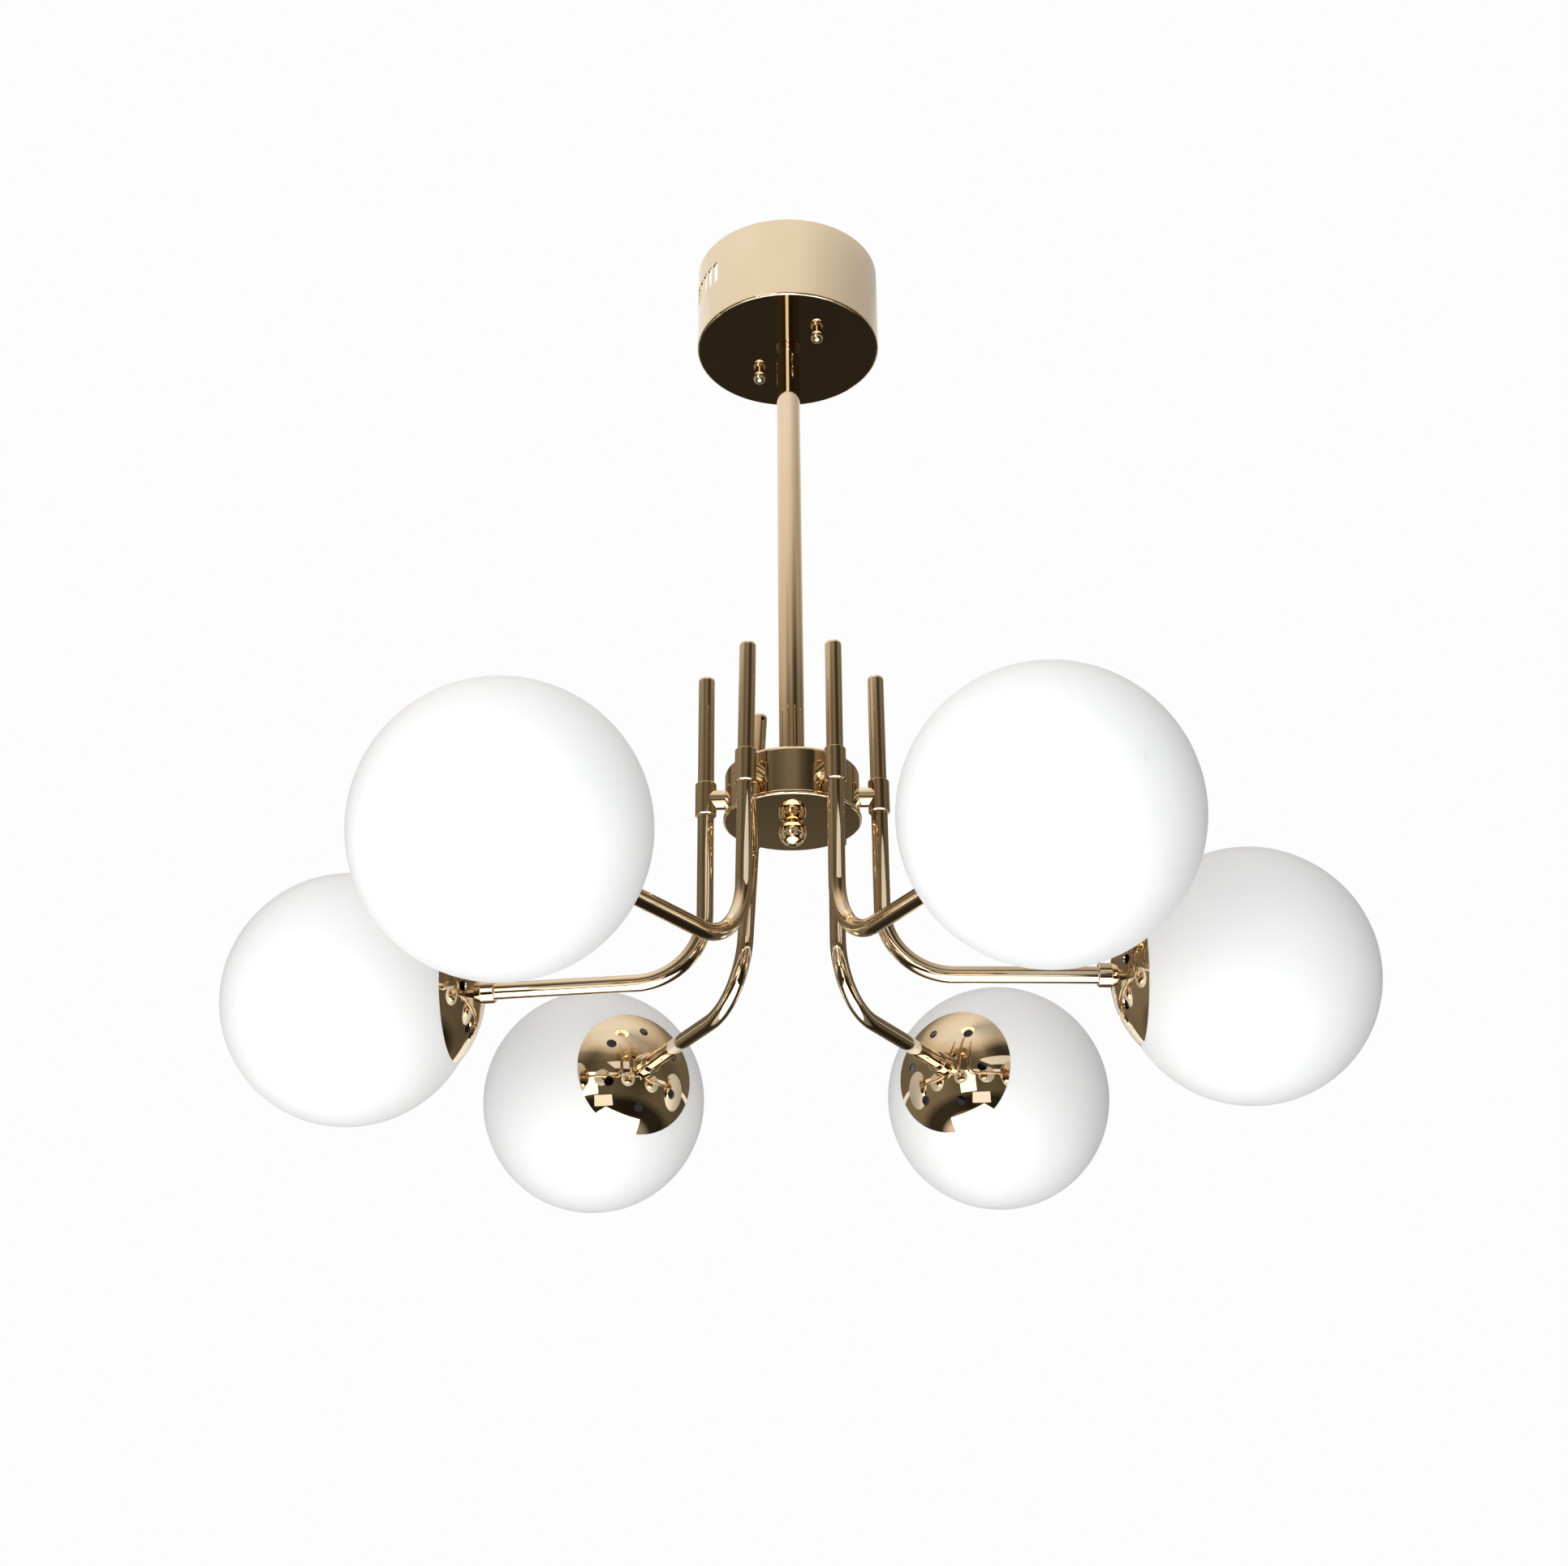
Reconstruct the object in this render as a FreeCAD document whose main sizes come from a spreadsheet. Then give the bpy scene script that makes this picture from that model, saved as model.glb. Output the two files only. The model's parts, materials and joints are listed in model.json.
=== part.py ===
"""Six-globe ceiling light: a canopy cup, a stem, a drum hub and six bent arms with opal glass globes.

Millimetres, +Z up. The origin is the middle of the canopy's top, on the ceiling, and the front is -Y.
Every size is a cell of the sheet Sizes, and each piece is bound to those cells.
"""
import FreeCAD, Part

import os
import re

import Sketcher
from FreeCAD import Placement, Rotation, Vector

SIZES = [
    # Ceiling cup and what is inside it
    ("canopy_diameter", 123.0),
    ("canopy_height", 62.0),
    ("canopy_wall", 1.2),
    ("canopy_edge", 1.6),
    ("slot_width", 5.0),
    ("slot_length", 16.2),
    ("slot_depth", 24.7),
    ("bar_clearance", 6.3),
    ("bar_width", 20.0),
    ("bar_thickness", 2.0),
    ("screw_edge", 9.0),
    ("screw_hole", 5.2),
    ("cable_hole", 12.0),
    ("stud_circle", 59.0),
    ("stud_diameter", 4.0),
    ("stud_nut_width", 7.0),
    ("stud_nut_height", 3.2),
    ("ball_nut_diameter", 8.8),
    ("ball_nut_height", 9.4),
    ("ball_nut_collar", 6.4),
    ("terminal_length", 16.0),
    ("terminal_width", 19.0),
    ("terminal_height", 12.0),
    ("terminal_place", 16.5),
    ("terminal_hole", 3.2),
    ("terminal_pitch", 5.6),
    ("terminal_screw", 3.0),
    ("terminal_screw_head", 5.6),
    # Stem
    ("stem_diameter", 15.5),
    ("stem_wall", 1.2),
    ("stem_length", 317.0),
    ("stem_edge", 0.6),
    ("stem_ring_diameter", 14.4),
    ("stem_ring_height", 3.6),
    ("stem_thread", 10.0),
    ("stem_bore", 6.5),
    ("stem_plug", 12.0),
    ("stem_nut_width", 14.0),
    ("stem_nut_height", 4.0),
    ("washer_diameter", 20.0),
    ("washer_thickness", 1.5),
    # Hub
    ("drum_diameter", 82.0),
    ("drum_height", 28.6),
    ("drum_wall", 2.0),
    ("drum_edge", 2.5),
    ("plate_diameter", 84.2),
    ("plate_thickness", 3.2),
    ("plate_edge", 1.2),
    ("plate_step", 1.6),
    ("shadow_gap", 0.6),
    ("strap_width", 14.0),
    ("strap_thickness", 1.6),
    ("strap_reach", 16.0),
    ("finial_diameter", 17.0),
    ("finial_drop", 6.9),
    ("finial_stud", 4.0),
    ("finial_thread", 6.0),
    # Sleeves on the hub
    ("arm_circle", 105.6),
    ("sleeve_diameter", 13.0),
    ("sleeve_length", 21.4),
    ("sleeve_edge", 0.6),
    ("stub_diameter", 12.0),
    ("stub_thread", 8.0),
    ("stub_nut_width", 12.0),
    ("stub_nut_height", 3.0),
    ("nose_diameter", 3.6),
    ("nose_bore", 2.4),
    # Arm tubes
    ("tube_diameter", 10.0),
    ("tube_wall", 1.0),
    ("tube_rise", 83.5),
    ("tube_drop", 120.3),
    ("tube_top_edge", 2.4),
    ("bend_radius", 42.0),
    ("arm_reach", 211.5),
    ("drain_hole", 2.4),
    ("drain_depth", 4.5),
    ("collar_diameter", 14.2),
    ("collar_length", 8.0),
    ("collar_edge", 0.8),
    # Globes and their caps
    ("globe_diameter", 150.0),
    ("glass_wall", 3.0),
    ("cap_diameter", 82.0),
    ("cap_height", 16.5),
    ("cap_wall", 1.0),
    ("cap_seat", 16.4),
    ("gallery_wall", 1.5),
    ("vent_circle", 52.0),
    ("vent_diameter", 6.0),
    # Lampholders and bulbs
    ("holder_diameter", 27.0),
    ("holder_length", 50.0),
    ("holder_neck", 16.0),
    ("holder_neck_length", 8.0),
    ("holder_edge", 2.0),
    ("lamp_cap_diameter", 13.8),
    ("lamp_cap_length", 25.0),
    ("bulb_diameter", 45.0),
    ("bulb_length", 80.0),
    ("bulb_neck", 24.0),
    ("bulb_shoulder", 34.0),
    # Clearances
    ("thread_play", 0.05),
    ("thread_over", 1.5),
    ("running_play", 0.08),
    ("bolt_play", 0.2),
    ("seat_gap", 0.05),
    ("neck_clearance", 1.0),
    ("overrun", 1.0),
]

# Angles in degrees, also cells of the sheet.
ANGLES = [
    ("slot_azimuth", -63.2),
    ("slot_step", 6.4),
    ("stud_azimuth", 43.0),
    ("swing", 15.0),
    ("arm_droop", 1.4),
    ("front_right_swivel", -0.7),
    ("mid_right_swivel", -0.5),
    ("back_right_swivel", -0.6),
    ("back_left_swivel", 1.0),
    ("mid_left_swivel", -2.7),
    ("front_left_swivel", -1.3),
    ("front_right_lean", -0.2),
    ("mid_right_lean", -0.2),
    ("back_right_lean", 0.2),
    ("back_left_lean", 3.7),
    ("mid_left_lean", -1.5),
    ("front_left_lean", -1.0),
    ("front_right_cap_turn", 12.0),
    ("mid_right_cap_turn", 30.0),
    ("back_right_cap_turn", 21.0),
    ("back_left_cap_turn", 0.7),
    ("mid_left_cap_turn", 40.0),
    ("front_left_cap_turn", 5.0),
]

# Anticlockwise seen from above, starting half a step to the right of the front.
ARMS = ["front_right", "mid_right", "back_right", "back_left", "mid_left", "front_left"]
ARM_STEP = 360 / len(ARMS)
HALF_TURN_SHARE = 0.001
SLOT_COUNT = 5
VENT_COUNT = 6

# Places that follow from the sizes. Those down to arm_axis are depths below the ceiling, and those from
# rim on are measured from a globe's centre.
DERIVED = {
    "stem_top": "canopy_height + stem_ring_height",
    "hub_top": "stem_top + stem_length",
    "drum_bottom": "hub_top + drum_height",
    "plate_top": "drum_bottom + shadow_gap",
    "step_top": "plate_top - plate_step",
    "hub_bottom": "plate_top + plate_thickness",
    "arm_axis": "(hub_top + hub_bottom) / 2",
    "canopy_floor": "canopy_height - canopy_wall",
    "canopy_inside": "canopy_diameter / 2 - canopy_wall",
    "bar_length": "2 * (canopy_inside - bar_clearance)",
    "screw_circle": "bar_length - 2 * screw_edge",
    "drum_ceiling": "hub_top + drum_wall",
    "drum_inside": "drum_diameter / 2 - drum_wall",
    "stub_nut_face": "sqrt(drum_inside^2 - (stub_nut_width / 2 / cos(30))^2) - seat_gap",
    "stub_end": "stub_nut_face - stub_nut_height - thread_over",
    "tube_inside": "tube_diameter / 2 - tube_wall",
    "bend_top": "bend_radius / cos(arm_droop) + (arm_reach - bend_radius) * tan(arm_droop) - tube_drop",
    "rim": "sqrt((globe_diameter / 2)^2 - (cap_diameter / 2)^2)",
    "apex": "rim + cap_height",
    "dome_centre": "(apex^2 + (cap_seat / 2)^2 - (globe_diameter / 2)^2) / (2 * cap_height)",
    "dome_radius": "sqrt((apex - dome_centre)^2 + (cap_seat / 2)^2)",
    "dome_inside": "dome_radius - cap_wall",
    "neck_radius": "vent_circle / 2 + vent_diameter / 2 + glass_wall",
    "gallery_inside": "neck_radius + 2 * thread_play",
    "gallery_outside": "gallery_inside + gallery_wall",
    "neck_top": "dome_centre + sqrt(dome_inside^2 - neck_radius^2) - neck_clearance",
    "holder_top": "apex - cap_wall",
    "holder_mouth": "holder_top - holder_length",
    "tube_end": "holder_top - holder_neck_length + thread_over",
    "bulb_centre": "holder_mouth + lamp_cap_length - bulb_length + bulb_diameter / 2",
}

doc = FreeCAD.newDocument("ceiling_light")
sheet = doc.addObject("Spreadsheet::Sheet", "Sizes")
names = [name for name, value in SIZES + ANGLES]
pieces = []


def azimuths():
    return [(arm, f"{ARM_STEP} * ({index} + 0.5)") for index, arm in enumerate(ARMS)]


def fill_sheet():
    for row, (name, value) in enumerate(SIZES + ANGLES, start=1):
        sheet.set(f"A{row}", name)
        sheet.set(f"B{row}", str(value))
        sheet.setAlias(f"B{row}", name)
    doc.recompute()


def bound(expression):
    """Turn the names in an expression into cells of the sheet, by way of the derived places."""
    def swap(match):
        word = match.group(0)
        if word in DERIVED:
            return "(" + bound(DERIVED[word]) + ")"
        return "Sizes." + word if word in names else word
    return re.sub(r"[a-z_]+", swap, str(expression))


def number(expression):
    return float(sheet.evalExpression(bound(expression)))


def bind(thing, field, expression):
    thing.setExpression(field, bound(expression))


def new_body(label):
    body = doc.addObject("PartDesign::Body", label)
    body.Label = label
    pieces.append(body)
    return body


def origin_of(body, role):
    return next(item for item in body.Origin.OriginFeatures if item.Role == role)


def new_sketch(body, role, lift=None, turn=None):
    """A sketch on one of the body's own planes, lifted along its normal or turned about its upright."""
    sketch = body.newObject("Sketcher::SketchObject", body.Name + "_sketch")
    sketch.AttachmentSupport = (origin_of(body, role), [""])
    sketch.MapMode = "FlatFace"
    if lift is not None:
        bind(sketch, "AttachmentOffset.Base.z", lift)
    if turn is not None:
        sketch.AttachmentOffset = Placement(Vector(), Rotation(Vector(0, 1, 0), 1))
        bind(sketch, "AttachmentOffset.Rotation.Angle", turn)
    return sketch


def set_out(sketch, edge, end, across, up):
    """Hold one end of an edge at bound distances from the sketch's origin."""
    for kind, expression in (("DistanceX", across), ("DistanceY", up)):
        rule = Sketcher.Constraint(kind, -1, 1, edge, end, number(expression))
        bind(sketch, f"Constraints[{sketch.addConstraint(rule)}]", expression)


def arc_between(first, last, radius, left):
    """The arc of at most half a turn from first to last, with its centre left or right of the way."""
    chord = last - first
    side = Vector(-chord.y, chord.x, 0).normalize() * (1 if left else -1)
    centre = first + chord / 2 + side * max(radius**2 - (chord.Length / 2) ** 2, 0) ** 0.5
    return Part.Arc(first, centre - side * radius, last)


def outline(sketch, corners, closed=True):
    """Edges from corner to corner.

    A corner is (across, up), or (across, up, radius, side) where an arc leaves it. An arc of half a turn is
    held by its centre, because its two ends and its radius say the same.
    """
    points = [Vector(number(corner[0]), number(corner[1]), 0) for corner in corners]
    count = len(corners) if closed else len(corners) - 1
    edges = []
    for index in range(count):
        start, end = points[index], points[(index + 1) % len(points)]
        if len(corners[index]) == 2:
            edges.append((sketch.addGeometry(Part.LineSegment(start, end)), 1, 2))
            continue
        radius = number(corners[index][2])
        left = corners[index][3] == "left"
        edge = sketch.addGeometry(arc_between(start, end, radius, left))
        if abs((end - start).Length - 2 * radius) > radius * HALF_TURN_SHARE:
            expression = corners[index][2]
            rule = Sketcher.Constraint("Radius", edge, radius)
        else:
            level = abs(end.y - start.y) < abs(end.x - start.x)
            expression = corners[index][1 if level else 0]
            kind = "DistanceY" if level else "DistanceX"
            rule = Sketcher.Constraint(kind, -1, 1, edge, 3, number(expression))
        bind(sketch, f"Constraints[{sketch.addConstraint(rule)}]", expression)
        edges.append((edge, 1, 2) if left else (edge, 2, 1))
    for index, (edge, near, far) in enumerate(edges):
        set_out(sketch, edge, near, corners[index][0], corners[index][1])
        if index + 1 < count or closed:
            following = edges[(index + 1) % count]
            sketch.addConstraint(Sketcher.Constraint("Coincident", edge, far, following[0], following[1]))
        else:
            set_out(sketch, edge, far, corners[-1][0], corners[-1][1])


def circle(sketch, across, up, diameter):
    middle = Vector(number(across), number(up), 0)
    edge = sketch.addGeometry(Part.Circle(middle, Vector(0, 0, 1), number(diameter) / 2))
    rule = Sketcher.Constraint("Diameter", edge, number(diameter))
    bind(sketch, f"Constraints[{sketch.addConstraint(rule)}]", diameter)
    set_out(sketch, edge, 3, across, up)


def feature(body, kind, sketch, **fields):
    """Add a feature to a body and make sure that it adds or takes away material as its kind should."""
    before = body.Shape.Volume if body.Tip else 0
    item = body.newObject("PartDesign::" + kind, body.Name + "_" + kind.lower())
    item.Profile = sketch
    for field, value in fields.items():
        if isinstance(value, str) and field in ("Length", "Angle"):
            bind(item, field, value)
        else:
            setattr(item, field, value)
    doc.recompute()
    if sketch.solve() != 0:
        raise RuntimeError(f"{body.Label}: the sketch {sketch.Name} does not solve")
    change = body.Shape.Volume - before
    if (kind in ("Pocket", "Groove")) == (change > 0) or change == 0:
        raise RuntimeError(f"{body.Label}: {kind} changes the volume by {change}")
    return item


def revolve(body, corners, axis="V_Axis"):
    sketch = new_sketch(body, "XZ_Plane")
    outline(sketch, corners)
    return feature(body, "Revolution", sketch, ReferenceAxis=(sketch, [axis]), Angle=360)


def hole_through(body, role, across, up, diameter):
    """A round hole right through the body, square to one of its planes."""
    sketch = new_sketch(body, role)
    circle(sketch, across, up, diameter)
    return feature(body, "Pocket", sketch, Type="ThroughAll", Midplane=True)


def hole_one_way(body, across, up, diameter, length):
    """A round hole from the plane x = 0 towards -X."""
    sketch = new_sketch(body, "YZ_Plane")
    circle(sketch, across, up, diameter)
    return feature(body, "Pocket", sketch, Length=length)


def around(body, item, role, count, angle=360):
    """Repeat a feature about one of the body's axes."""
    pattern = body.newObject("PartDesign::PolarPattern", body.Name + "_around")
    pattern.Originals = [item]
    pattern.Axis = (origin_of(body, role), [""])
    pattern.Occurrences = count
    if isinstance(angle, str):
        bind(pattern, "Angle", angle)
    else:
        pattern.Angle = angle
    body.Tip = pattern
    doc.recompute()
    return pattern


def step(across=0, along=0, up=0, turn="rotationz(0)"):
    return f"placement(vector({across}; {along}; {up}); {turn})"


def stand_at(thing, azimuth, out=0, depth=0, then=()):
    """Turn a piece to an azimuth counted from the front, step out and down, then step on."""
    steps = [step(turn=f"rotationz({azimuth} - 90)"), step(across=out, up=f"-({depth})"), *then]
    bind(thing, "Placement", " * ".join(steps))


def group(label, members):
    """One node that holds several like solids."""
    compound = doc.addObject("Part::Compound", label)
    compound.Label = label
    compound.Links = members
    pieces.append(compound)
    return compound


def hex_nut(name, width, height, bore):
    """An upright hexagon nut with its lower face at z = 0."""
    prism = doc.addObject("Part::Prism", name + "_prism")
    prism.Polygon = 6
    bind(prism, "Circumradius", f"{width} / 2 / cos(30)")
    bind(prism, "Height", height)
    drill = doc.addObject("Part::Cylinder", name + "_drill")
    bind(drill, "Radius", f"{bore} / 2 + thread_play")
    bind(drill, "Height", height)
    nut = doc.addObject("Part::Cut", name)
    nut.Base = prism
    nut.Tool = drill
    return nut


def make_canopy():
    """Cup, open at the ceiling: floor holes for the stem and the studs, and vent slots in both sides."""
    body = new_body("canopy")
    revolve(body, [
        ("stem_thread / 2 + thread_play", "-canopy_height"),
        ("canopy_diameter / 2 - canopy_edge", "-canopy_height", "canopy_edge", "left"),
        ("canopy_diameter / 2", "canopy_edge - canopy_height"),
        ("canopy_diameter / 2", "0"),
        ("canopy_inside", "0"),
        ("canopy_inside", "-canopy_floor"),
        ("stem_thread / 2 + thread_play", "-canopy_floor"),
    ])
    first_azimuth = f"slot_azimuth - slot_step * ({SLOT_COUNT} - 1) / 2"
    sketch = new_sketch(body, "XZ_Plane", turn=first_azimuth)
    half = "slot_width / 2"
    straight = "(slot_length - slot_width) / 2"
    outline(sketch, [
        (half, f"-slot_depth - {straight}"),
        (half, f"{straight} - slot_depth", half, "left"),
        (f"-{half}", f"{straight} - slot_depth"),
        (f"-{half}", f"-slot_depth - {straight}", half, "left"),
    ])
    slot = feature(body, "Pocket", sketch, Type="ThroughAll", Midplane=True)
    around(body, slot, "Z_Axis", SLOT_COUNT, f"slot_step * ({SLOT_COUNT} - 1)")
    sketch = new_sketch(body, "XY_Plane")
    for side in ("", "-"):
        circle(sketch, f"{side}stud_circle / 2 * sin(stud_azimuth)",
               f"{'' if side else '-'}stud_circle / 2 * cos(stud_azimuth)", "stud_diameter + 2 * bolt_play")
    feature(body, "Pocket", sketch, Type="ThroughAll", Midplane=True)


def make_ceiling_bar():
    """Flat bar with round ends, and holes for the ceiling screws, the studs and the cable."""
    body = new_body("ceiling_bar")
    sketch = new_sketch(body, "XY_Plane")
    half = "bar_width / 2"
    straight = "(bar_length - bar_width) / 2"
    outline(sketch, [
        (straight, f"-{half}", half, "left"),
        (straight, half),
        (f"-{straight}", half, half, "left"),
        (f"-{straight}", f"-{half}"),
    ])
    feature(body, "Pad", sketch, Length="bar_thickness", Reversed=True)
    sketch = new_sketch(body, "XY_Plane")
    circle(sketch, "0", "0", "cable_hole")
    circle(sketch, "-terminal_place", "0", "terminal_screw + 2 * thread_play")
    for side in ("", "-"):
        circle(sketch, f"{side}screw_circle / 2", "0", "screw_hole")
        circle(sketch, f"{side}stud_circle / 2", "0", "stud_diameter + 2 * thread_play")
    feature(body, "Pocket", sketch, Type="ThroughAll", Midplane=True)
    stand_at(body, "stud_azimuth")


def make_canopy_studs():
    """Threaded studs, from the bar down into the ball nuts."""
    members = []
    length = "canopy_height + ball_nut_height / 2"
    for index, turn in enumerate(("0", "180")):
        stud = doc.addObject("Part::Cylinder", f"stud_{index}")
        bind(stud, "Radius", "stud_diameter / 2")
        bind(stud, "Height", length)
        stand_at(stud, f"(stud_azimuth + {turn})", out="stud_circle / 2", depth=length)
        members.append(stud)
    group("canopy_studs", members)


def make_stud_nuts():
    """Lock nuts under the bar."""
    members = []
    for index, turn in enumerate(("0", "180")):
        nut = hex_nut(f"stud_nut_{index}", "stud_nut_width", "stud_nut_height", "stud_diameter")
        stand_at(nut, f"(stud_azimuth + {turn})", out="stud_circle / 2",
                 depth="bar_thickness + stud_nut_height")
        members.append(nut)
    group("stud_lock_nuts", members)


def make_ball_nuts():
    """Ball-shaped cap nuts with a short collar that bears on the canopy, and a blind thread."""
    members = []
    radius = "ball_nut_diameter / 2"
    for index, turn in enumerate(("0", "180")):
        ball = doc.addObject("Part::Sphere", f"ball_{index}")
        bind(ball, "Radius", radius)
        collar = doc.addObject("Part::Cylinder", f"ball_collar_{index}")
        bind(collar, "Radius", "ball_nut_collar / 2")
        bind(collar, "Height", f"ball_nut_height - {radius}")
        whole = doc.addObject("Part::Fuse", f"ball_whole_{index}")
        whole.Base = ball
        whole.Tool = collar
        drill = doc.addObject("Part::Cylinder", f"ball_drill_{index}")
        bind(drill, "Radius", "stud_diameter / 2 + thread_play")
        bind(drill, "Height", "ball_nut_height / 2 + seat_gap + overrun")
        bind(drill, "Placement.Base.z", f"ball_nut_height / 2 - {radius} - seat_gap")
        nut = doc.addObject("Part::Cut", f"ball_nut_{index}")
        nut.Base = whole
        nut.Tool = drill
        stand_at(nut, f"(stud_azimuth + {turn})", out="stud_circle / 2",
                 depth=f"canopy_height + ball_nut_height - {radius}")
        members.append(nut)
    group("ball_nuts", members)


def make_terminal_block():
    """Three-way block under the bar: wire holes along it, and a screw well to each from below."""
    body = new_body("terminal_block")
    sketch = new_sketch(body, "XY_Plane")
    long_half = "terminal_length / 2"
    wide_half = "terminal_width / 2"
    outline(sketch, [
        (f"-{long_half}", f"-{wide_half}"),
        (long_half, f"-{wide_half}"),
        (long_half, wide_half),
        (f"-{long_half}", wide_half),
    ])
    feature(body, "Pad", sketch, Length="terminal_height", Reversed=True)
    sketch = new_sketch(body, "YZ_Plane")
    for side in ("-", ""):
        circle(sketch, f"{side}terminal_pitch", "-terminal_height / 2", "terminal_hole")
    feature(body, "Pocket", sketch, Type="ThroughAll", Midplane=True)
    sketch = new_sketch(body, "XY_Plane", lift="-terminal_height")
    for side in ("-", ""):
        for end in ("-", ""):
            circle(sketch, f"{end}terminal_pitch", f"{side}terminal_pitch", "terminal_hole")
    feature(body, "Pocket", sketch, Length="terminal_height / 2", Reversed=True)
    hole_through(body, "XY_Plane", "0", "0", "terminal_screw + 2 * bolt_play")
    stand_at(body, "stud_azimuth", out="-terminal_place", depth="bar_thickness")


def make_terminal_screw():
    """Pan-head screw that holds the terminal block to the bar."""
    body = new_body("terminal_screw")
    head_top = "-(bar_thickness + terminal_height)"
    revolve(body, [
        ("0", f"{head_top} - terminal_screw / 2"),
        ("terminal_screw_head / 2", f"{head_top} - terminal_screw / 2"),
        ("terminal_screw_head / 2", head_top),
        ("terminal_screw / 2", head_top),
        ("terminal_screw / 2", "0"),
        ("0", "0"),
    ])
    stand_at(body, "stud_azimuth", out="-terminal_place")


def make_stem():
    """Tube with a brazed plug at each end, turned down to a hollow thread."""
    body = new_body("stem")
    outside = "stem_diameter / 2"
    inside = "stem_diameter / 2 - stem_wall"
    nut_stack = "washer_thickness + stem_nut_height + thread_over"
    revolve(body, [
        ("stem_bore / 2", f"{nut_stack} - canopy_floor"),
        ("stem_bore / 2", "-stem_top - stem_plug"),
        (inside, "-stem_top - stem_plug"),
        (inside, "stem_plug - hub_top"),
        ("stem_bore / 2", "stem_plug - hub_top"),
        ("stem_bore / 2", f"-drum_ceiling - strap_thickness - ({nut_stack})"),
        ("stem_thread / 2", f"-drum_ceiling - strap_thickness - ({nut_stack})"),
        ("stem_thread / 2", "-hub_top"),
        (outside, "-hub_top"),
        (outside, "-stem_top - stem_edge"),
        (f"{outside} - stem_edge", "-stem_top"),
        ("stem_thread / 2", "-stem_top"),
        ("stem_thread / 2", f"{nut_stack} - canopy_floor"),
    ])


def make_stem_ring():
    """Short ring between the canopy and the stem, with bevelled edges."""
    body = new_body("stem_ring")
    outside = "stem_ring_diameter / 2"
    inside = "stem_thread / 2 + thread_play"
    revolve(body, [
        (inside, "-stem_top"),
        (f"{outside} - stem_edge", "-stem_top"),
        (outside, "stem_edge - stem_top"),
        (outside, "-canopy_height - stem_edge"),
        (f"{outside} - stem_edge", "-canopy_height"),
        (inside, "-canopy_height"),
    ])


def make_stem_washers():
    members = []
    places = ("washer_thickness - canopy_floor", "-drum_ceiling - strap_thickness")
    for index, top in enumerate(places):
        disc = doc.addObject("Part::Cylinder", f"washer_disc_{index}")
        bind(disc, "Radius", "washer_diameter / 2")
        bind(disc, "Height", "washer_thickness")
        drill = doc.addObject("Part::Cylinder", f"washer_drill_{index}")
        bind(drill, "Radius", "stem_thread / 2 + bolt_play")
        bind(drill, "Height", "washer_thickness")
        washer = doc.addObject("Part::Cut", f"washer_{index}")
        washer.Base = disc
        washer.Tool = drill
        bind(washer, "Placement.Base.z", f"{top} - washer_thickness")
        members.append(washer)
    group("stem_washers", members)


def make_stem_nuts():
    members = []
    places = ("washer_thickness - canopy_floor",
              "-drum_ceiling - strap_thickness - washer_thickness - stem_nut_height")
    for index, bottom in enumerate(places):
        nut = hex_nut(f"stem_nut_{index}", "stem_nut_width", "stem_nut_height", "stem_thread")
        bind(nut, "Placement.Base.z", bottom)
        members.append(nut)
    group("stem_lock_nuts", members)


def make_hub_drum():
    """Cup, open below, with a rounded shoulder and a hole in its wall for each stub."""
    body = new_body("hub_drum")
    bore = "stem_thread / 2 + thread_play"
    outside = "drum_diameter / 2"
    revolve(body, [
        (bore, "-drum_ceiling"),
        ("drum_inside", "-drum_ceiling"),
        ("drum_inside", "-drum_bottom"),
        (outside, "-drum_bottom"),
        (outside, "-hub_top - drum_edge", "drum_edge", "left"),
        (f"{outside} - drum_edge", "-hub_top"),
        (bore, "-hub_top"),
    ])
    hole = hole_one_way(body, "0", "-arm_axis", "stub_thread + 2 * thread_play", f"{outside} + overrun")
    around(body, hole, "Z_Axis", len(ARMS))


def make_hub_strap():
    """Strap clamped under the drum's top, bent twice, whose lower leg carries the base plate."""
    body = new_body("hub_strap")
    sketch = new_sketch(body, "XZ_Plane")
    far = "strap_reach"
    near = "-strap_width / 2"
    inner = "strap_reach - strap_thickness"
    top = "-drum_ceiling"
    bottom = "-step_top"
    bend = "2 * strap_thickness"
    outline(sketch, [
        (near, top),
        (near, f"{top} - strap_thickness"),
        (f"{far} - {bend}", f"{top} - strap_thickness", "strap_thickness", "right"),
        (inner, f"{top} - {bend}"),
        (inner, f"{bottom} + {bend}", "strap_thickness", "right"),
        (f"{far} - {bend}", f"{bottom} + strap_thickness"),
        (near, f"{bottom} + strap_thickness"),
        (near, bottom),
        (f"{far} - {bend}", bottom, bend, "left"),
        (far, f"{bottom} + {bend}"),
        (far, f"{top} - {bend}", bend, "left"),
        (f"{far} - {bend}", top),
    ])
    feature(body, "Pad", sketch, Length="strap_width", Midplane=True)
    sketch = new_sketch(body, "XY_Plane", lift="-drum_ceiling")
    circle(sketch, "0", "0", "stem_thread + 2 * thread_play")
    feature(body, "Pocket", sketch, Length="strap_thickness + overrun")
    sketch = new_sketch(body, "XY_Plane", lift="-step_top")
    circle(sketch, "0", "0", "finial_stud + 2 * thread_play")
    feature(body, "Pocket", sketch, Length="strap_thickness + overrun", Reversed=True)


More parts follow.
